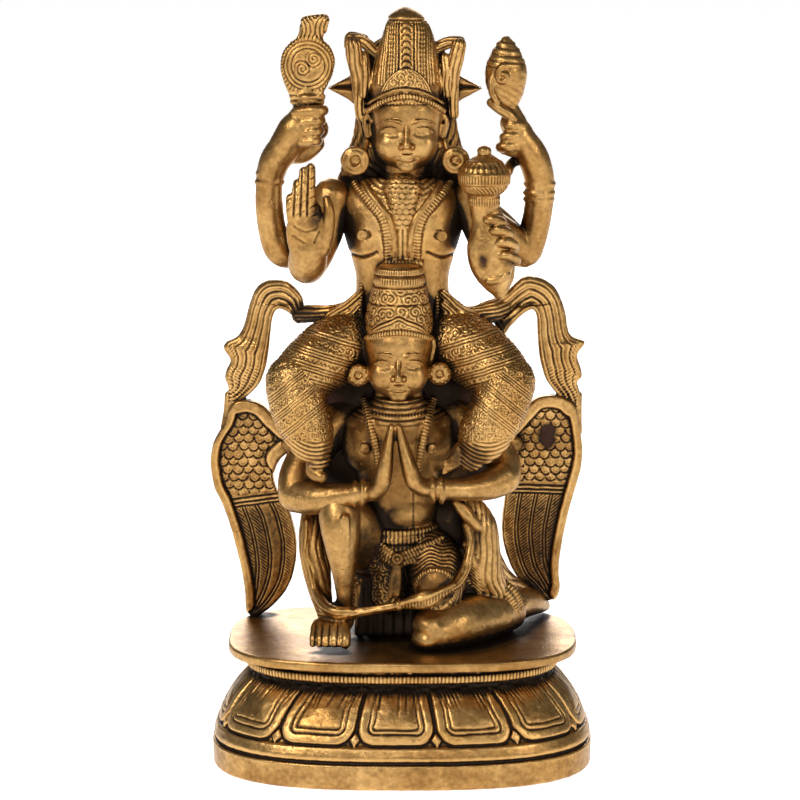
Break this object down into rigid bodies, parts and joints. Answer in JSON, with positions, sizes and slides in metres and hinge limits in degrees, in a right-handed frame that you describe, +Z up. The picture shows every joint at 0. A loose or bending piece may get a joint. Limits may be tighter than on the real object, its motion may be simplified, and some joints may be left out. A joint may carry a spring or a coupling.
{
  "type": "statue",
  "caption": "Cast brass statue of a crowned, many-armed deity seated on the shoulders of a kneeling winged bearer, on an oval lotus base.",
  "frame": {"origin": "centre of the oval base's underside", "axes": "+Z up through the crown, -Y towards the side that the figures face, +X to the right as seen from the front"},
  "size_m": [0.1173, 0.0816, 0.2291],
  "materials": {
    "brass": "worn polish on the high parts over dark patina in the recesses"
  },
  "bodies": {
    "root": {"vishnu_on_garuda": "brass"}
  },
  "joints": []
}
